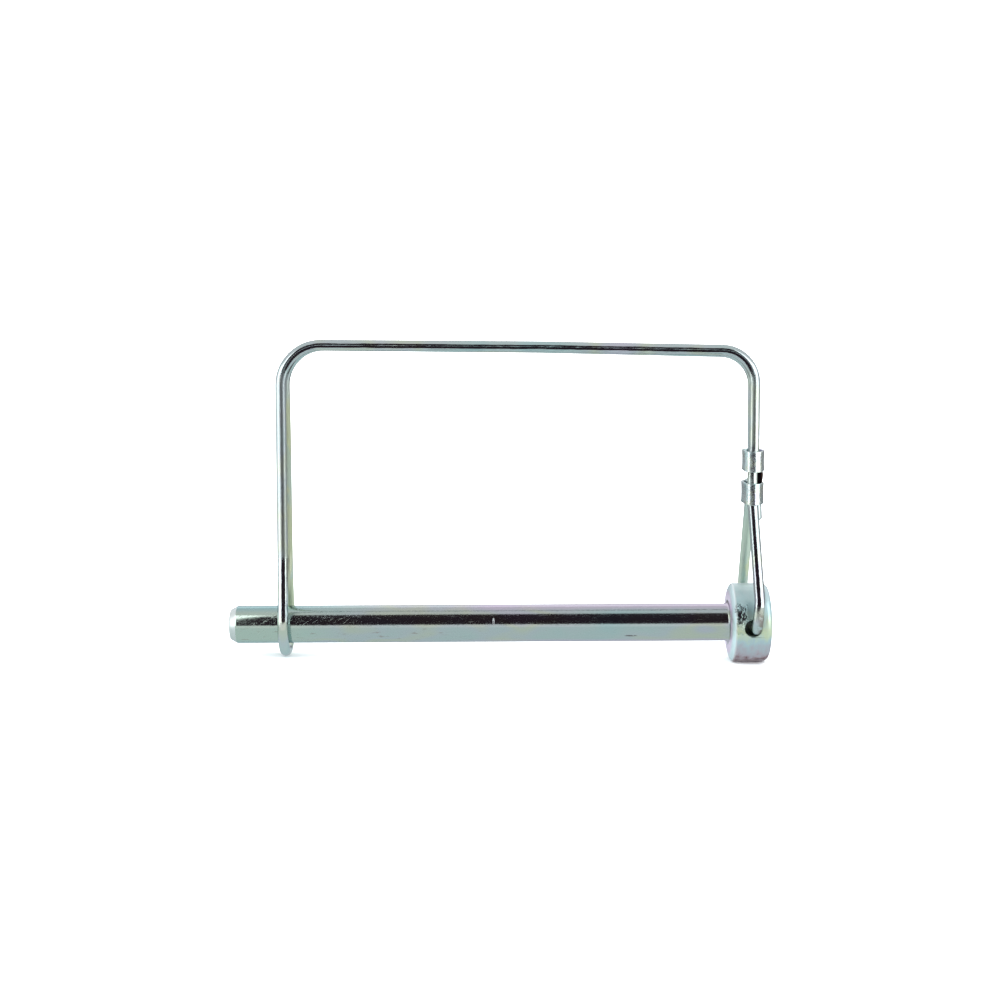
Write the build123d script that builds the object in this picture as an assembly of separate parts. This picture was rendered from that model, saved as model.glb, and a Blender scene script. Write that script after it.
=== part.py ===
from build123d import *
import os

os.makedirs("parts", exist_ok=True)

# Frame: the origin is the centre of the shoulder, where the shank meets the head.
# +X runs out through the head, -X along the shank to its tip, +Z up into the bail.
# Dimensions are in millimetres.

# pin
SHANK_DIA = 9.525
SHANK_LENGTH = 126.5
TIP_TAPER_LENGTH = 1.85
TIP_TAPER_DEPTH = 1.0
TIP_EDGE_ROUND = 0.4
HEAD_DIA = 19.8
HEAD_THICKNESS = 9.95
HEAD_RIM_ROUND = 1.4
UNDERSIDE_FLAT_RADIUS = 7.0
UNDERSIDE_RIM_X = 0.9
UNDERSIDE_RIM_ROUND = 0.3
SHOULDER_FILLET = 0.9
CROSS_HOLE_DIA = 4.2
CROSS_HOLE_X = 5.1
CROSS_HOLE_EDGE = 0.25

# bail wire
WIRE_DIA = 2.65
WIRE_END_ROUND = 0.6
LEG_REACH = 11.45
HOLE_WIRE_Z = -0.3
LOOP_HALF_WIDTH = 6.8
LOOP_LOW_Z = -6.65
LOOP_X = -112.35
LOOP_CORNER_RADIUS = 6.5
FAR_LEG_X = -112.2
FAR_CORNER_RADIUS = 10.0
NEAR_LEG_X = 6.1
NEAR_CORNER_RADIUS = 8.3
ENTRY_BEND_RADIUS = 2.2
LEG_BEND_RADIUS = 4.0
EASE_RADIUS = 14.0
LONG_EASE_RADIUS = 60.0

# ferrules
FERRULE_WALL = 0.42
FERRULE_SLANT = 3.0
FERRULE_EDGE_ROUND = 0.18
UPPER_FERRULE_Z = 38.65
UPPER_FERRULE_HEIGHT = 5.2
LOWER_FERRULE_Z = 30.4
LOWER_FERRULE_HEIGHT = 5.4


def pin():
    """Cold-headed pin: a plain shank with a tapered tip, and a cross-drilled disc head."""
    shank_r = SHANK_DIA / 2
    head_r = HEAD_DIA / 2
    tip_x = -SHANK_LENGTH
    shank = Polyline(
        (UNDERSIDE_RIM_X, head_r),
        (HEAD_THICKNESS, head_r),
        (HEAD_THICKNESS, 0),
        (tip_x, 0),
        (tip_x, shank_r - TIP_TAPER_DEPTH),
        (tip_x + TIP_TAPER_LENGTH, shank_r),
        (0, shank_r),
        (0, UNDERSIDE_FLAT_RADIUS),
    )
    underside = TangentArc((0, UNDERSIDE_FLAT_RADIUS), (UNDERSIDE_RIM_X, head_r), tangent=(0, 1))
    face = make_face(shank + underside)
    rims = face.vertices().filter_by_position(Axis.Y, head_r - 0.01, head_r + 0.01).sort_by(Axis.X)
    face = fillet(rims[-1], HEAD_RIM_ROUND)
    face = fillet(face.vertices().sort_by_distance((UNDERSIDE_RIM_X, head_r))[0], UNDERSIDE_RIM_ROUND)
    inner = face.vertices().filter_by_position(Axis.X, -0.01, 0.01).sort_by(Axis.Y)[0]
    face = fillet(inner, SHOULDER_FILLET)
    tip = face.vertices().filter_by_position(Axis.X, tip_x - 0.01, tip_x + 0.01).sort_by(Axis.Y)[-1]
    face = fillet(tip, TIP_EDGE_ROUND)
    body = revolve(face, Axis.X)
    bore = Cylinder(CROSS_HOLE_DIA / 2, 2 * HEAD_DIA, rotation=(90, 0, 0))
    body -= Pos(CROSS_HOLE_X, 0, 0) * bore
    mouths = []
    for edge in body.edges():
        box = edge.bounding_box()
        at_rim = abs(abs(box.center().Y) - head_r) < 0.6
        if at_rim and abs(box.center().X - CROSS_HOLE_X) < 0.1 and box.size.X < 1.5 * CROSS_HOLE_DIA:
            mouths.append(edge)
    return chamfer(mouths, CROSS_HOLE_EDGE)


def strand(side):
    """Stations (x, y, z, bend radius) of one strand, from the shank loop over the bar to the ferrules."""
    back = side > 0
    return [
        (LOOP_X, side * LOOP_HALF_WIDTH, LOOP_LOW_Z, LOOP_CORNER_RADIUS),
        (LOOP_X, side * LOOP_HALF_WIDTH, 1.0, EASE_RADIUS),
        (LOOP_X, side * 4.8, 12.5 if back else 18.0, EASE_RADIUS),
        (FAR_LEG_X, side * 4.35, 48.0, LONG_EASE_RADIUS),
        (FAR_LEG_X, side * 3.35, 70.7 if back else 70.9, FAR_CORNER_RADIUS),
        (-47.5, side * 2.6, 69.75 if back else 70.1, LONG_EASE_RADIUS),
        (NEAR_LEG_X, side * 1.42, 68.25 if back else 68.85, NEAR_CORNER_RADIUS),
        (NEAR_LEG_X, side * 1.39, 45.0, EASE_RADIUS),
    ]


def bail_wire():
    """One spring wire: up from the head, twice round the bail as two strands, and back to the ferrules."""
    reach = LEG_REACH
    first_leg = [
        (5.65, 2.4, 36.5, 0),
        (5.65, 2.4, 29.9, LEG_BEND_RADIUS),
        (5.35, reach - 0.1, 6.5, LEG_BEND_RADIUS),
        (5.45, reach, HOLE_WIRE_Z, ENTRY_BEND_RADIUS),
        (5.72, -reach, HOLE_WIRE_Z, ENTRY_BEND_RADIUS),
        (6.35, -reach + 0.1, 6.5, LEG_BEND_RADIUS),
        (5.8, -2.35, 29.9, LEG_BEND_RADIUS),
        (5.6, -2.3, 37.0, EASE_RADIUS),
    ]
    last_leg = [
        (7.15, 0.65, 39.6, EASE_RADIUS),
        (7.45, 0.42, 37.4, LEG_BEND_RADIUS),
        (7.0, 0.05, 35.6, LEG_BEND_RADIUS),
        (7.0, 0.05, 30.0, EASE_RADIUS),
        (7.15, 0.1, 26.1, 0),
    ]
    front = strand(-1)
    rear = strand(1)
    stations = first_leg + front[::-1] + rear + last_leg
    points = [Vector(*station[:3]) for station in stations]
    radii = [station[3] for station in stations[1:-1]]
    path = FilletPolyline(*points, radius=radii)
    section = Plane(origin=points[0], z_dir=points[1] - points[0]) * Circle(WIRE_DIA / 2)
    wire = sweep(section, path=path)
    ends = wire.faces().filter_by(GeomType.PLANE)
    return fillet(ends.edges(), WIRE_END_ROUND)


def ferrule(lobes, base_z, height):
    """Crimped sleeve: a lobed tube round the strands, its rims slanted with the tube."""
    outer = make_hull([edge for x, y, r in lobes for edge in (Pos(x, y) * Circle(r)).edges()])
    inner = make_hull([edge for x, y, r in lobes for edge in (Pos(x, y) * Circle(r - FERRULE_WALL)).edges()])
    tube = extrude(outer - inner, 2 * height)
    tilt = Pos(NEAR_LEG_X, 0, base_z) * Rot(X=FERRULE_SLANT)
    band = tilt * Box(20, 20, height, align=(Align.CENTER, Align.CENTER, Align.MIN))
    sleeve = (Pos(0, 0, base_z - height / 2) * tube) & band
    rims = sleeve.faces().filter_by(lambda f: abs(f.normal_at().Z) > 0.9)
    return fillet(rims.edges(), FERRULE_EDGE_ROUND)


UPPER_LOBES = [(5.93, -1.8, 2.3), (5.55, 2.0, 2.05), (6.95, 0.6, 2.1)]
LOWER_LOBES = [(5.9, -2.2, 2.05), (5.5, 2.25, 2.1), (6.85, 0.05, 2.0)]

nodes = {
    "pin": pin(),
    "bail_wire": bail_wire(),
    "ferrule_upper": ferrule(UPPER_LOBES, UPPER_FERRULE_Z, UPPER_FERRULE_HEIGHT),
    "ferrule_lower": ferrule(LOWER_LOBES, LOWER_FERRULE_Z, LOWER_FERRULE_HEIGHT),
}
for name, shape in nodes.items():
    export_step(shape, f"parts/{name}.step")
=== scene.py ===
# %% [markdown]
# # A wire lock hitch pin
# The real object is a cold-headed steel pin with a hole drilled across its head, and a bail of
# spring wire that hinges in that hole and snaps over the far end of the shank. Two small
# crimped sleeves hold the wire's strands together. Everything is zinc plated, so the pieces
# share one kind of finish, each worn in its own way.
#
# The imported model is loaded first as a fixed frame. All lengths in Blender are metres.

# %% Load the frame
from math import asin, cos, radians, sin

import bmesh
import bpy
from mathutils import Euler, Matrix, Vector


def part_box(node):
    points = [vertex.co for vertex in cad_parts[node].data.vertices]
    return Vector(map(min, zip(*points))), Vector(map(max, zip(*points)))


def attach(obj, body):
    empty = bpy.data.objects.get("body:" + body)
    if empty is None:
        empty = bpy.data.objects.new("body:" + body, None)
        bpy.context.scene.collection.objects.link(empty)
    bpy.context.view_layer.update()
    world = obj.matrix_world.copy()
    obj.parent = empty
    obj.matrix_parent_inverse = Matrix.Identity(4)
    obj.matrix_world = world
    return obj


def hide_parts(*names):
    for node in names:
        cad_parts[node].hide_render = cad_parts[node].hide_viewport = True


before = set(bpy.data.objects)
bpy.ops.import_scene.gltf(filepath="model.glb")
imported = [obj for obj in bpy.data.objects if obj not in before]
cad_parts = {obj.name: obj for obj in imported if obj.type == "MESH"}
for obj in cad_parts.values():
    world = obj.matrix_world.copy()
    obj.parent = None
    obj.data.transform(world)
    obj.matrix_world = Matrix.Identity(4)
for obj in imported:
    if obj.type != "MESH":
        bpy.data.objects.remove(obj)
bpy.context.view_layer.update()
mm = 0.001
pin_low, pin_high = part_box("pin")
wire_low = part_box("bail_wire")[0]
print("nodes:", sorted(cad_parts))

# %% [markdown]
# ## The camera
# A long part is best seen from far enough away that its legs stay upright, from a little above
# it, with the camera rolled a hair so that the shank isn't quite level.

# %% Put up the camera
CAMERA_PLACE = (-57.8 * mm, -402.4 * mm, 71.75 * mm)
CAMERA_PITCH = 5.71
CAMERA_ROLL = -0.294
CAMERA_LENS = 57.6

level = Euler((radians(90 - CAMERA_PITCH), 0, 0)).to_matrix()
turned = level @ Matrix.Rotation(radians(CAMERA_ROLL), 3, "Z")
bpy.ops.object.camera_add(location=CAMERA_PLACE, rotation=turned.to_euler())
camera = bpy.context.object
camera.data.lens = CAMERA_LENS
camera.data.clip_end = 20
bpy.context.scene.camera = camera
bpy.context.scene.view_settings.view_transform = "Standard"
print("camera at", [round(v, 4) for v in camera.location])

# %% [markdown]
# ## Wiring a finish
# Every finish below is a small graph of nodes. Plain sums on sockets are far easier to read
# than rows of Math nodes, so one small class wraps a socket and turns + - * / into them, and
# one method adds any other node.

# %% A socket that can be added and multiplied
class Wire:
    """An output socket of a graph, with the sums that are done on it."""

    def __init__(self, graph, socket):
        self.graph = graph
        self.socket = socket

    def sum(self, operation, first, second):
        return self.graph.node("ShaderNodeMath", {"operation": operation}, {0: first, 1: second})

    def __add__(self, other):
        return self.sum("ADD", self, other)

    def __sub__(self, other):
        return self.sum("SUBTRACT", self, other)

    def __rsub__(self, other):
        return self.sum("SUBTRACT", other, self)

    def __mul__(self, other):
        return self.sum("MULTIPLY", self, other)

    def __truediv__(self, other):
        return self.sum("DIVIDE", self, other)

    def __gt__(self, other):
        return self.sum("GREATER_THAN", self, other)

    def __lt__(self, other):
        return self.sum("LESS_THAN", self, other)

    __radd__ = __add__
    __rmul__ = __mul__


# %% A graph that is wired by hand
class Graph:
    """A node tree that is being wired."""

    def __init__(self, owner):
        owner.use_nodes = True
        self.tree = owner.node_tree
        self.tree.nodes.clear()

    def node(self, kind, settings=None, inputs=None, output=0):
        """Adds a node, sets it up, fills its sockets, and returns the output asked for."""
        made = self.tree.nodes.new(kind)
        for key, value in (settings or {}).items():
            setattr(made, key, value)
        for key, value in (inputs or {}).items():
            if isinstance(value, Wire):
                self.tree.links.new(value.socket, made.inputs[key])
            else:
                made.inputs[key].default_value = value
        return Wire(self, made.outputs[output]) if made.outputs else made

    def ramp(self, value, stops):
        """Runs a value through colours that each stand at their own place from 0 to 1."""
        made = self.node("ShaderNodeValToRGB", inputs={0: value})
        elements = made.socket.node.color_ramp.elements
        while len(elements) < len(stops):
            elements.new(0.5)
        for element, (place, colour) in zip(elements, stops):
            element.position = place
            element.color = (*colour, 1)
        return made

    def noise(self, vector, stretch, detail=3.0):
        """Noise from 0 to 1, with about as many lumps per millimetre each way as stretch says."""
        scaled = self.node("ShaderNodeMapping", inputs={"Vector": vector, "Scale": stretch})
        return self.node("ShaderNodeTexNoise", inputs={"Vector": scaled, "Scale": 1.0, "Detail": detail})

    def fade(self, value, start, end):
        """0 up to start, 1 from end on, and a soft step between them."""
        settings = {"interpolation_type": "SMOOTHSTEP"}
        return self.node("ShaderNodeMapRange", settings, {0: value, 1: start, 2: end, 3: 0.0, 4: 1.0})

    def blend(self, factor, first, second):
        """A colour between two others."""
        colours = [c if isinstance(c, Wire) else (*c, 1) for c in (first, second)]
        inputs = {0: factor, 6: colours[0], 7: colours[1]}
        return self.node("ShaderNodeMix", {"data_type": "RGBA"}, inputs, output=2)


# %% [markdown]
# ## The studio
# Bright metal shows its surroundings more than itself, so the room is half of the finish. The
# part stands in a small light tent: a bright wall on each side, a roof, a pale sheet under it
# that turns grey further off, and a dark gap towards the camera. The gap is what draws the
# black line along each rod. The sheet is laid under the head's rim and the loop of the bail,
# the two places that touch it.

# %% Lay the floor
FLOOR_SIZE = 12
FLOOR_GAP = 0.02 * mm
LOOP_INSET = 1.3 * mm
FLOOR_COLOUR = (0.84, 0.88, 0.90, 1)
FLOOR_IN_METAL = (0.84, 0.93, 0.93, 1)
FLOOR_GLOW = 0.95

head_middle_x = pin_high.x / 2
loop_x = wire_low.x + LOOP_INSET
slope = (wire_low.z - pin_low.z) / (head_middle_x - loop_x)
bpy.ops.mesh.primitive_plane_add(size=FLOOR_SIZE)
floor = bpy.context.object
floor.name = "floor"
place = Matrix.Translation((head_middle_x, 0, pin_low.z - FLOOR_GAP))
floor.data.transform(place @ Matrix.Rotation(slope, 4, "Y"))

floor_finish = bpy.data.materials.new("pale_sheet")
graph = Graph(floor_finish)
mirrored = graph.node("ShaderNodeLightPath", output="Is Glossy Ray")
sheet = graph.node("ShaderNodeBsdfDiffuse", inputs={"Color": FLOOR_COLOUR})
even = graph.node("ShaderNodeEmission", inputs={"Color": FLOOR_IN_METAL, "Strength": FLOOR_GLOW})
surface = graph.node("ShaderNodeMixShader", inputs={0: mirrored, 1: sheet, 2: even})
graph.node("ShaderNodeOutputMaterial", inputs={"Surface": surface})
floor.data.materials.append(floor_finish)
print("floor slopes", round(slope, 4))

# %% [markdown]
# The cards are set out in millimetres from the line that the camera looks along. Only bright
# metal sees them: to the camera and to the floor they aren't there.

# %% Cut the cards
TENT_MIDDLE = CAMERA_PLACE[0] / mm
SHEET_Z = -6
WHITE = (1, 1, 1)
GAP_TINT = (1.0, 0.62, 0.9)


def card(name, corners, strength, colour=WHITE):
    """A flat card that only shows in bright metal: four corners in millimetres."""
    bpy.ops.mesh.primitive_plane_add(size=1)
    made = bpy.context.object
    made.name = name
    for vertex, corner in zip(made.data.vertices, (0, 1, 3, 2)):
        x, y, z = corners[corner]
        vertex.co = Vector((x + TENT_MIDDLE, y, z)) * mm
    made.visible_camera = False
    made.visible_diffuse = False
    made.visible_shadow = False
    made.visible_transmission = False
    finish = bpy.data.materials.new(name)
    graph = Graph(finish)
    glow = graph.node("ShaderNodeEmission", inputs={"Color": (*colour, 1), "Strength": strength})
    graph.node("ShaderNodeOutputMaterial", inputs={"Surface": glow})
    made.data.materials.append(finish)


def upright(name, start, end, low, high, strength):
    """A card that stands on the line between two points (x, y)."""
    (x0, y0), (x1, y1) = start, end
    card(name, [(x0, y0, low), (x1, y1, low), (x1, y1, high), (x0, y0, high)], strength)


def flat(name, left, right, near, far, strength, colour=WHITE):
    """A card that lies just over the floor."""
    corners = [(left, near), (right, near), (right, far), (left, far)]
    card(name, [(x, y, SHEET_Z) for x, y in corners], strength, colour)


# %% Light the tent
GAP_LOW = 1.5
GAP_HIGH = 100
LIP_Y = -41
LIP_FOOT = -9.5
ROOF_Y = -45
ROOF_BACK_Y = 120
ROOF_HALF = 300
WALL_FOOT = -9
WALL_TOP = 150
NEAR_EDGE = -900
FAR_EDGE = 1500
BACK_Y = 90
SIDE_X = 170
SIDE_Y = -20
WALL_GLOW = 2.4
ROOF_GLOW = 0.85
LIP_GLOW = 1.0
GAP_GLOW = 0.03
FAR_GLOW = 0.32

upright("wall_left", (-85, -72), (-150, -15), WALL_FOOT, WALL_TOP, WALL_GLOW)
upright("wall_right", (91, -72), (160, -15), WALL_FOOT, WALL_TOP, WALL_GLOW)
card("roof", [(-ROOF_HALF, ROOF_Y, GAP_HIGH), (ROOF_HALF, ROOF_Y, GAP_HIGH),
              (ROOF_HALF, ROOF_BACK_Y, WALL_TOP), (-ROOF_HALF, ROOF_BACK_Y, WALL_TOP)], ROOF_GLOW)
upright("lip", (-ROOF_HALF, LIP_Y), (ROOF_HALF, LIP_Y), LIP_FOOT, GAP_LOW, LIP_GLOW)
flat("dark_sheet", -ROOF_HALF, ROOF_HALF, NEAR_EDGE, LIP_Y, GAP_GLOW, GAP_TINT)
flat("back_sheet", -FAR_EDGE, FAR_EDGE, BACK_Y, FAR_EDGE, FAR_GLOW)
flat("left_sheet", -FAR_EDGE, -SIDE_X, SIDE_Y, BACK_Y, FAR_GLOW)
flat("right_sheet", SIDE_X, FAR_EDGE, SIDE_Y, BACK_Y, FAR_GLOW)

# %% [markdown]
# The room is an even white for the camera and the floor, which gives the soft light without
# hard shadows. Metal sees a dark room in front, and behind it a wall that brightens upwards.

# %% Surround the tent
ROOM_LIGHT = 3.2
ROOM_IN_FRONT = 0.03
HORIZON, HIGH_UP = 0.08, 0.45
HORIZON_GLOW, HIGH_GLOW = 0.35, 1.35

world = bpy.data.worlds.new("room")
bpy.context.scene.world = world
graph = Graph(world)
direction = graph.node("ShaderNodeTexCoord", output="Generated")
y = graph.node("ShaderNodeSeparateXYZ", inputs={0: direction}, output="Y")
z = graph.node("ShaderNodeSeparateXYZ", inputs={0: direction}, output="Z")
behind = y > 0.0
rise = {0: z, 1: HORIZON, 2: HIGH_UP, 3: HORIZON_GLOW, 4: HIGH_GLOW}
glow = graph.node("ShaderNodeMapRange", inputs=rise)
seen = graph.node("ShaderNodeLightPath", output="Is Camera Ray")
on_sheet = graph.node("ShaderNodeLightPath", output="Is Diffuse Ray")
in_metal = behind * glow + (1 - behind) * ROOM_IN_FRONT
plain_room = seen + on_sheet
strength = plain_room * ROOM_LIGHT + (1 - plain_room) * in_metal
tint = graph.blend(behind + plain_room, GAP_TINT, WHITE)
room = graph.node("ShaderNodeBackground", inputs={"Color": tint, "Strength": strength})
graph.node("ShaderNodeOutputWorld", inputs={"Surface": room})
print("room nodes:", len(graph.tree.nodes))

# %% [markdown]
# ## The pin
# The pin is cut from bar, its head is struck cold, and the hole is drilled across the head.
# It is a turned shape, so it grows from one disc at the tip: the disc is pushed along the axis
# and scaled at each step of the outline, and the corners are then bevelled to the radii that
# the tools leave. The head's underside is flat near the shank and domes back to the rim. The
# hole is cut last, as it is on the real pin, and a nick is struck in the shank.

# %% Sizes of the pin
SHANK_RADIUS = 4.7625 * mm
TIP_RADIUS = SHANK_RADIUS - 1.0 * mm
TIP_TAPER = 1.85 * mm
TIP_ROUND = 0.4 * mm
HEAD_RADIUS = pin_high.z
RIM_ROUND = 1.4 * mm
FLAT_RADIUS = 7.0 * mm
DOME_X = 0.9 * mm
DOME_ROUND = 0.16 * mm
DOME_STEPS = 8
SHOULDER_FILLET = 0.9 * mm
HOLE_X = 5.1 * mm
HOLE_RADIUS = 2.1 * mm
HOLE_EDGE = 0.25 * mm
HOLE_SIDES = 96
MOUTH_REACH = 0.02 * mm
SHARP = 50
SMOOTH_UP_TO = 32
NICK_PLACE = (-59.6 * mm, -4.72 * mm, 1.38 * mm)
NICK_RADIUS = 0.6 * mm
NICK_SHAPE = (0.5, 1.0, 1.8)
PIN_SIDES = 192
ROUND_STEPS = 10
SAME_PLACE = 1e-6
print("head radius", round(HEAD_RADIUS / mm, 2), "mm, shank radius", round(SHANK_RADIUS / mm, 4), "mm")


# %% Pick parts of a piece by where they are
def clear_selection():
    """Nothing is selected and nothing is being edited."""
    if bpy.context.object and bpy.context.object.mode == "EDIT":
        bpy.ops.object.mode_set(mode="OBJECT")
    for item in bpy.context.selected_objects:
        item.select_set(False)


def pick(piece, kind, wanted):
    """Selects the vertices, edges or faces of the piece in edit mode that the test wants."""
    bpy.ops.mesh.select_mode(type=kind)
    bpy.ops.mesh.select_all(action="DESELECT")
    mesh = bmesh.from_edit_mesh(piece.data)
    parts = {"VERT": mesh.verts, "EDGE": mesh.edges, "FACE": mesh.faces}[kind]
    chosen = [part for part in parts if wanted(part)]
    for part in chosen:
        part.select_set(True)
    bmesh.update_edit_mesh(piece.data)
    return len(chosen)


# %% Grow the outline from the tip
clear_selection()
tip_x = pin_low.x
bpy.ops.mesh.primitive_circle_add(vertices=PIN_SIDES, radius=TIP_RADIUS, fill_type="NGON",
                                  location=(tip_x, 0, 0), rotation=(0, radians(90), 0))
pin = bpy.context.object
pin.name = "pin_headed"
bpy.ops.object.transform_apply(location=True, rotation=True, scale=True)
dome_rise = HEAD_RADIUS - FLAT_RADIUS
dome_radius = (dome_rise ** 2 + DOME_X ** 2) / (2 * DOME_X)
dome = []
for step in range(1, DOME_STEPS + 1):
    turn = asin(dome_rise / dome_radius) * step / DOME_STEPS
    dome.append((dome_radius * (1 - cos(turn)), FLAT_RADIUS + dome_radius * sin(turn)))
outline = [(tip_x, TIP_RADIUS), (tip_x + TIP_TAPER, SHANK_RADIUS), (0.0, SHANK_RADIUS),
           (0.0, FLAT_RADIUS), *dome, (pin_high.x, HEAD_RADIUS)]
bpy.ops.object.mode_set(mode="EDIT")
bpy.ops.mesh.select_all(action="SELECT")
for (x0, r0), (x1, r1) in zip(outline, outline[1:]):
    bpy.ops.mesh.extrude_region_move(TRANSFORM_OT_translate={"value": (x1 - x0, 0, 0)})
    bpy.ops.transform.resize(value=(1, r1 / r0, r1 / r0), center_override=(x1, 0, 0))
bpy.ops.mesh.select_all(action="SELECT")
bpy.ops.mesh.normals_make_consistent(inside=False)
print("pin outline:", len(outline), "rings")


# %% Round the corners
def ring_at(x, radius):
    """Tests whether an edge lies on the circle of this radius at x."""
    def on_ring(edge):
        return all(abs(v.co.x - x) < SAME_PLACE and abs(v.co.yz.length - radius) < SAME_PLACE
                   for v in edge.verts)
    return on_ring


corners = [(0.0, SHANK_RADIUS, SHOULDER_FILLET), (DOME_X, HEAD_RADIUS, DOME_ROUND),
           (pin_high.x, HEAD_RADIUS, RIM_ROUND), (tip_x, TIP_RADIUS, TIP_ROUND),
           (tip_x + TIP_TAPER, SHANK_RADIUS, 0.5 * TIP_ROUND)]
for x, radius, size_of_round in corners:
    found = pick(pin, "EDGE", ring_at(x, radius))
    bpy.ops.mesh.bevel(offset=size_of_round, offset_type="OFFSET", segments=ROUND_STEPS, profile=0.5)
    print("rounded", found, "edges at", round(x / mm, 2), "by", size_of_round / mm)
bpy.ops.object.mode_set(mode="OBJECT")


# %% Drill the head and strike the nick
def cut(piece, cutter):
    """Takes the cutter's shape out of the piece and throws the cutter away."""
    clear_selection()
    bpy.context.view_layer.objects.active = piece
    piece.select_set(True)
    knife = piece.modifiers.new("cut", "BOOLEAN")
    knife.operation = "DIFFERENCE"
    knife.solver = "EXACT"
    knife.object = cutter
    bpy.ops.object.modifier_apply(modifier=knife.name)
    bpy.data.objects.remove(cutter)


clear_selection()
bpy.ops.mesh.primitive_cylinder_add(vertices=HOLE_SIDES, radius=HOLE_RADIUS, depth=3 * HEAD_RADIUS,
                                    location=(HOLE_X, 0, 0), rotation=(radians(90), 0, 0))
cut(pin, bpy.context.object)
bpy.ops.mesh.primitive_uv_sphere_add(segments=24, ring_count=12, radius=NICK_RADIUS,
                                     location=NICK_PLACE, scale=NICK_SHAPE)
cut(pin, bpy.context.object)
print("faces after the cuts:", len(pin.data.polygons))


# %% Break the edge of the hole
def at_mouth(edge):
    """Tests whether an edge is on the sharp rim of the hole."""
    if len(edge.link_faces) != 2 or edge.calc_face_angle() < radians(SHARP):
        return False
    return all(abs(Vector((v.co.x - HOLE_X, 0, v.co.z)).length - HOLE_RADIUS) < MOUTH_REACH
               and abs(v.co.y) > 0.8 * HEAD_RADIUS for v in edge.verts)


bpy.ops.object.mode_set(mode="EDIT")
found = pick(pin, "EDGE", at_mouth)
bpy.ops.mesh.bevel(offset=HOLE_EDGE, offset_type="OFFSET", segments=3)
bpy.ops.object.mode_set(mode="OBJECT")
bpy.ops.object.shade_smooth_by_angle(angle=radians(SMOOTH_UP_TO))
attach(pin, "pin")
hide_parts("pin")
print("hole mouth edges:", found, "faces:", len(pin.data.polygons))

# %% [markdown]
# ## The crimped sleeves
# Each sleeve is a short piece of tube that a press has closed round three strands of wire, so
# its section is what a tight band round three circles looks like. Three cylinders are put where
# the strands are, a hull is drawn round them, and the hull is trimmed by two slanted cuts,
# because a press never closes a sleeve quite square. The press also draws the middle in a little.

# %% Sizes of the sleeves
SLEEVE_WALL = 0.42 * mm
SLEEVE_EDGE = 0.16 * mm
SLEEVE_SLANT = 3.0
SLEEVE_RINGS = 6
SLEEVE_WAIST = 0.035
SLEEVE_SIDES = 96
SLEEVE_SMOOTH_UP_TO = 40
UPPER_LOBES = [(5.93, -1.8, 2.3), (5.55, 2.0, 2.05), (6.95, 0.6, 2.1)]
LOWER_LOBES = [(5.9, -2.2, 2.05), (5.5, 2.25, 2.1), (6.85, 0.05, 2.0)]
print("strands in each sleeve:", len(UPPER_LOBES), len(LOWER_LOBES))


# %% Press a sleeve round its strands
def hull_of_rods(name, lobes, middle_z, depth):
    """A hull round one upright rod (x, y, radius in millimetres) for each strand, left in edit mode."""
    clear_selection()
    rods = []
    for x, y, radius in lobes:
        bpy.ops.mesh.primitive_cylinder_add(vertices=SLEEVE_SIDES, radius=radius * mm, depth=depth,
                                            location=(x * mm, y * mm, middle_z))
        rods.append(bpy.context.object)
    for rod in rods:
        rod.select_set(True)
    bpy.ops.object.join()
    made = bpy.context.object
    made.name = name
    bpy.ops.object.transform_apply(location=True, rotation=True, scale=True)
    bpy.ops.object.mode_set(mode="EDIT")
    bpy.ops.mesh.select_all(action="SELECT")
    bpy.ops.mesh.convex_hull()
    return made


def apply_modifier(piece, kind, settings):
    """Adds a modifier to the piece, sets it up and applies it."""
    modifier = piece.modifiers.new(kind.lower(), kind)
    for key, value in settings.items():
        setattr(modifier, key, value)
    bpy.ops.object.modifier_apply(modifier=modifier.name)


def sleeve(name, node, lobes):
    """A crimped tube with one lobe for each strand, as high as its node."""
    low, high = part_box(node)
    middle = (low + high) / 2
    made = hull_of_rods(name, lobes, middle.z, 2 * (high.z - low.z))
    slant = Matrix.Rotation(radians(SLEEVE_SLANT), 3, "X") @ Vector((0, 0, 1))
    lean = abs(slant.y / slant.z) * (high.y - low.y) / 2
    half = (high.z - low.z) / 2 - lean
    for side in (-1, 1):
        bpy.ops.mesh.select_all(action="SELECT")
        bpy.ops.mesh.bisect(plane_co=middle + slant * half * side, plane_no=slant * side, clear_outer=True)
    levels = [2 * step / SLEEVE_RINGS - 1 for step in range(1, SLEEVE_RINGS)]
    for level in levels:
        bpy.ops.mesh.select_all(action="SELECT")
        bpy.ops.mesh.bisect(plane_co=middle + slant * half * level, plane_no=slant)
    for level in levels:
        ring = middle + slant * half * level
        pick(made, "VERT", lambda v: abs((v.co - ring).dot(slant)) < SAME_PLACE)
        waist = 1 - SLEEVE_WAIST * (1 - level * level)
        bpy.ops.transform.resize(value=(waist, waist, 1), center_override=ring)
    bpy.ops.object.mode_set(mode="OBJECT")
    apply_modifier(made, "SOLIDIFY", {"thickness": SLEEVE_WALL, "offset": -1, "use_even_offset": True})
    apply_modifier(made, "BEVEL", {"width": SLEEVE_EDGE, "segments": 4, "angle_limit": radians(SHARP)})
    bpy.ops.object.shade_smooth_by_angle(angle=radians(SLEEVE_SMOOTH_UP_TO))
    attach(made, "bail")
    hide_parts(node)
    print(name, "faces:", len(made.data.polygons))
    return made


upper = sleeve("sleeve_upper", "ferrule_upper", UPPER_LOBES)
lower = sleeve("sleeve_lower", "ferrule_lower", LOWER_LOBES)

# %% [markdown]
# ## The zinc finish
# Clear zinc plating is a satin grey metal with a faint rainbow in it: teal in one place, straw
# or lilac in the next. Fine handling marks scatter the light, so they show pale where the metal
# mirrors something dark. Wear and rust are laid over that, each where it happens. Places in the
# finishes are millimetres in the part's own frame.

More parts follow.
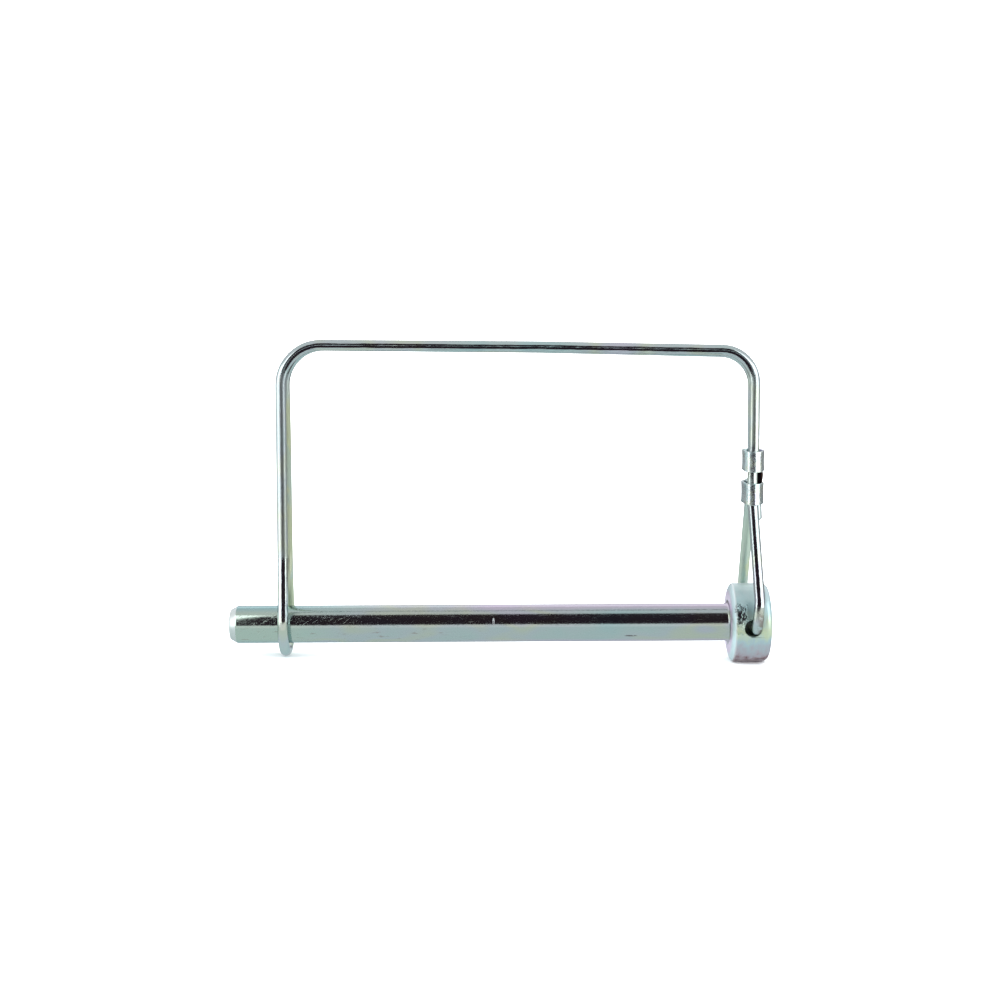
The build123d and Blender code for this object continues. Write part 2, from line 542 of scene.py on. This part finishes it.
# %% The plating that every piece shares
TINTS = [(0.32, (0.35, 0.49, 0.50)), (0.42, (0.40, 0.49, 0.49)), (0.50, (0.42, 0.48, 0.50)),
         (0.57, (0.45, 0.50, 0.43)), (0.64, (0.43, 0.47, 0.51)), (0.74, (0.49, 0.46, 0.56))]
EDGE_TINT = (0.75, 0.75, 0.78, 1)


class Zinc(Graph):
    """A zinc finish: colour, roughness and relief are built up and then joined to the metal."""

    def __init__(self, name):
        self.material = bpy.data.materials.new(name)
        super().__init__(self.material)
        place = self.node("ShaderNodeTexCoord", output="Object")
        self.place = self.node("ShaderNodeVectorMath", {"operation": "SCALE"}, {0: place, "Scale": 1 / mm})
        self.x, self.y, self.z = (self.node("ShaderNodeSeparateXYZ", inputs={0: self.place}, output=axis)
                                  for axis in "XYZ")
        self.metallic = 1.0

    def within(self, value, low, high, soft):
        """1 between low and high, fading to 0 over a soft edge inside each."""
        return self.fade(value, low, low + soft) * self.fade(value, high, high - soft)

    def rainbow(self, stretch, bright=1.0):
        """The slow change of tint along the plating."""
        slow = self.noise(self.place, stretch, 2.0)
        return self.ramp(slow, [(place, tuple(bright * part for part in tint)) for place, tint in TINTS])

    def lay_on(self, piece, colour, roughness, relief, depth):
        """Joins everything to the metal and gives the piece this finish."""
        bump = self.node("ShaderNodeBump", inputs={"Height": relief, "Distance": depth, "Strength": 1.0})
        metal = self.node("ShaderNodeBsdfPrincipled", inputs={
            "Base Color": colour, "Roughness": roughness, "Metallic": self.metallic, "Normal": bump,
            "Specular Tint": EDGE_TINT})
        self.node("ShaderNodeOutputMaterial", inputs={"Surface": metal})
        piece.data.materials.clear()
        piece.data.materials.append(self.material)
        print(self.material.name, "on", piece.name, "with", len(self.tree.nodes), "nodes")


# %% [markdown]
# ### The pin's finish
# The shank is bright: teal at the tip end, and a painted lilac sheen along its upper and lower
# edges nearer the head, with brown smudges under the middle and one dark stain. The struck nick
# is bare and dull.
# All of this could be painted by hand. Here each mark is a soft band in x, y or z, multiplied by
# noise, because a band can be moved by changing one number and stays crisp close up.

# %% Tint the shank
LEFT_END = (-92.0, -116.0)
TIP_TAPER_X = -124.7
SHANK_RADIUS_SQUARED = 22.7
INSIDE_SHANK_SQUARED = 22.5

zinc = Zinc("zinc_on_pin")
on_shank = zinc.x < 0.0
on_head = 1 - on_shank
on_tip = zinc.x < TIP_TAPER_X
edge = zinc.fade(zinc.z * zinc.z / SHANK_RADIUS_SQUARED, 0.45, 0.90)
left_end = zinc.fade(zinc.x, *LEFT_END)
left_colour = zinc.blend(edge, (0.43, 0.53, 0.46), (0.30, 0.48, 0.50))
colour = zinc.blend(left_end * 0.8, zinc.rainbow((0.045, 0.10, 0.10)), left_colour)
# Painted sheen: lilac laid on the shank's upper and lower edges nearer the head, standing in for the tint
# the plating shows at a glancing view.
lilac = edge * zinc.fade(zinc.x, -95.0, -40.0) * on_shank
colour = zinc.blend(lilac * 0.8, colour, (0.55, 0.48, 0.60))
smudge = zinc.fade(zinc.noise(zinc.place, (0.32, 1.3, 1.3), 6.0), 0.60, 0.72) * on_shank
smudge = smudge * zinc.fade(zinc.z, 1.0, -1.5) * zinc.fade(zinc.x, -50.0, -75.0)
colour = zinc.blend(smudge * 0.5, colour, (0.26, 0.20, 0.18))
print("shank tinted,", len(zinc.tree.nodes), "nodes so far")

# %% [markdown]
# The head is duller. Its colour runs from brown at the bottom through grey, straw and teal to
# pale at the top, stirred by clouds and by fine turned streaks. The domed underside is lilac
# near the shank and pale teal outside that. One ramp of colours up the head holds the whole
# run, so its order can be read in a single list.

# %% Tint the head
HEAD_BANDS = [(0.00, (0.10, 0.04, 0.05)), (0.05, (0.26, 0.17, 0.19)), (0.13, (0.40, 0.37, 0.42)),
              (0.30, (0.37, 0.49, 0.53)), (0.45, (0.50, 0.58, 0.41)), (0.58, (0.44, 0.57, 0.51)),
              (0.75, (0.37, 0.53, 0.55)), (1.00, (0.50, 0.60, 0.62))]
HEAD_HEIGHT = 19.8

turned = zinc.noise(zinc.place, (6.0, 0.22, 0.22), 4.0)
cloud = zinc.noise(zinc.place, (0.55, 0.55, 0.35), 4.0)
height = (zinc.z + turned * 2.5 + cloud * 7.0 + 5.0) / HEAD_HEIGHT
head_colour = zinc.ramp(height, HEAD_BANDS)
dome = zinc.fade(zinc.x, 0.95, 0.70)
# Painted highlight: a pale line along the rounded edge of the domed underside.
painted_rim_highlight = zinc.fade(zinc.x, 0.6, 0.85) * zinc.fade(zinc.x, 1.3, 1.0)
ring = zinc.fade(zinc.y * zinc.y + zinc.z * zinc.z, 52.0, 78.0)
dome_colour = zinc.blend(ring, (0.92, 0.80, 0.98), (0.74, 0.92, 0.96))
head_colour = zinc.blend(dome * 0.9, head_colour, dome_colour)
# The painted rim highlight is blended into the head's colour here.
head_colour = zinc.blend(painted_rim_highlight * 0.35, head_colour, (0.80, 0.81, 0.83))
colour = zinc.blend(on_head, colour, head_colour)
# Painted highlight: the tip's chamfer is made paler because it faces the light on the front left.
colour = zinc.blend(on_tip * 0.8, colour, (0.66, 0.71, 0.72))
print("head tinted in", len(HEAD_BANDS), "bands,", len(zinc.tree.nodes), "nodes so far")

# %% Stain and bare spots on the shank
mottle = zinc.noise(zinc.place, (1.8, 3.6, 3.6), 4.0)
stain = zinc.fade(zinc.x, -26.8, -25.8) * zinc.fade(zinc.x, -23.2, -24.0) * zinc.fade(zinc.y, -2.0, -3.0)
stain = stain * zinc.fade(zinc.z, -2.95, -2.8) * zinc.fade(zinc.z, -2.4, -2.6)
stain = stain * zinc.fade(mottle, 0.35, 0.5)
colour = zinc.blend(stain * 0.8, colour, (0.08, 0.06, 0.06))
in_nick = zinc.y * zinc.y + zinc.z * zinc.z < INSIDE_SHANK_SQUARED
in_nick = in_nick * (zinc.x > -60.2) * (zinc.x < -59.0)
colour = zinc.blend(in_nick * 0.8, colour, (0.92, 0.93, 0.95))
print("stained,", len(zinc.tree.nodes), "nodes so far")

# %% [markdown]
# Speckles and long scratches lie along the shank, with slanted gouges where the wire snaps on.
# The head has one patch rubbed bright beside the hole, with a ragged edge and a lumpy face.

# %% Wear the pin
speckle = zinc.fade(mottle, 0.56, 0.70) * (zinc.fade(zinc.x, -20.0, -60.0) * 0.6 + 0.4)
lines = zinc.noise(zinc.place, (0.25, 6.0, 6.0), 3.0)
scratch = zinc.fade(lines, 0.62, 0.68)
along, across = zinc.x + zinc.z, zinc.x - zinc.z * 1.4
slanted = zinc.node("ShaderNodeCombineXYZ", inputs={0: along, 1: across, 2: zinc.y})
gouge = zinc.fade(zinc.noise(slanted, (0.35, 2.2, 0.2), 4.0), 0.60, 0.66) * zinc.fade(zinc.x, -90.0, -98.0)
ragged = zinc.noise(zinc.place, (0.9, 0.9, 0.9), 4.0) * 3.0 - 1.5
rub_x = zinc.fade(zinc.x + ragged, 0.7, 1.0) * zinc.fade(zinc.x + ragged, 3.6, 3.2)
rub_z = zinc.within(zinc.z + ragged * 0.8, -1.6, 5.9, 0.4)
rub = rub_x * rub_z * zinc.fade(zinc.y, -3.0, -5.0) * on_head
rub_marks = zinc.noise(zinc.place, (1.7, 1.7, 1.3), 3.0)
plain_head = on_head * (1 - rub)
print("worn,", len(zinc.tree.nodes), "nodes so far")

# %% Lay the finish on the pin
zinc.metallic = 1 - plain_head * 0.12
shank_roughness = 0.15 + in_nick * 0.35 + speckle * 0.16 + scratch * 0.14 + gouge * 0.3
head_roughness = plain_head * 0.23 - dome * on_head * 0.02 - rub * 0.04
roughness = shank_roughness + head_roughness - left_end * 0.04 + on_tip * 0.25
relief = mottle + lines * 0.5 + rub_marks * rub * 30.0 + turned * plain_head * 4.0
zinc.lay_on(pin, colour, roughness, relief, 0.006 * mm)

# %% [markdown]
# ### The wire's finish
# Drawn wire has fine lines along it. The legs are duller than the bar, and the rear strands
# are matt green or straw. There is rust at the bend where the wire goes into the head. Where the
# strands show between the sleeves they are painted near-black as shade in the gap, going rust
# brown at the right edge. The model's own wire is smooth enough to be kept, so it is only given
# a finish.

# %% Tint the wire
zinc = Zinc("zinc_on_wire")
near_side = zinc.x > 0.0
far_side = 1 - near_side
along_bar = zinc.fade(zinc.z, 62.0, 66.0)
draw = zinc.noise(zinc.place, (6.0, 6.0, 0.15), 2.0)
draw_bar = zinc.noise(zinc.place, (0.15, 6.0, 6.0), 2.0)
drawn = draw * (1 - along_bar) + draw_bar * along_bar
legs = far_side * zinc.fade(zinc.z, 16.5, 18.5) + near_side * zinc.fade(zinc.z, 12.0, 45.0) * 0.6
dull = legs * (1 - along_bar)
rear = zinc.fade(zinc.y, 0.5, 2.0)
matt = rear * (far_side * zinc.fade(zinc.z, 66.0, 52.0) + near_side * zinc.fade(zinc.z, 36.0, 22.0))
straw = zinc.noise(zinc.place, (0.3, 0.3, 0.12), 2.0)
matt_colour = zinc.blend(zinc.fade(straw, 0.45, 0.55), (0.60, 0.71, 0.59), (0.68, 0.74, 0.51))
colour = zinc.blend(matt * 0.8, zinc.rainbow((0.05, 0.12, 0.06), 1.15), matt_colour)
print("wire tinted,", len(zinc.tree.nodes), "nodes so far")

# %% Rust at the bend, and painted shade between the sleeves
grime = zinc.noise(zinc.place, (1.1, 1.1, 1.1), 4.0)
at_bend = near_side * zinc.fade(zinc.y, -8.6, -11.0) * zinc.fade(zinc.z, 5.0, 3.2)
rust = at_bend * zinc.fade(grime, 0.34, 0.50) * zinc.fade(zinc.x, 5.3, 6.5)
colour = zinc.blend(rust * 0.75, colour, (0.12, 0.085, 0.06))
# Painted shade: where the strands show in the gap between the sleeves they are coloured near-black,
# turning rust brown past x = 8 mm.
in_gap = near_side * zinc.within(zinc.z, 35.0, 39.4, 0.4)
gap_shade_and_rust = in_gap * zinc.fade(zinc.x, 6.6, 6.8)
gap_shade_and_rust_colour = zinc.blend(zinc.fade(zinc.x, 8.0, 8.3), (0.003, 0.002, 0.003), (0.05, 0.028, 0.018))
colour = zinc.blend(gap_shade_and_rust, colour, gap_shade_and_rust_colour)
zinc.metallic = 1 - rust * 0.15
roughness = 0.10 + dull * 0.30 + matt * 0.30 + at_bend * 0.12 + rust * 0.12 + gap_shade_and_rust * 0.3
zinc.lay_on(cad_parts["bail_wire"], colour, roughness, drawn + grime * rust, 0.02 * mm)

# %% [markdown]
# ### The sleeves' finish
# The press leaves the sleeves paler than the wire, and grey-brown in spots. Both left the same
# press, so one loop finishes them. The noise is read at each one's own height, which keeps the
# two from looking alike.

# %% Finish the sleeves
for piece in (upper, lower):
    zinc = Zinc("zinc_on_" + piece.name)
    mottle = zinc.noise(zinc.place, (3.0, 3.0, 1.6), 4.0)
    spots = zinc.fade(mottle, 0.5, 0.65)
    colour = zinc.blend(spots * 0.35, zinc.rainbow((0.3, 0.3, 0.2), 1.65), (0.36, 0.31, 0.28))
    zinc.lay_on(piece, colour, 0.25 + spots * 0.2, mottle, 0.014 * mm)
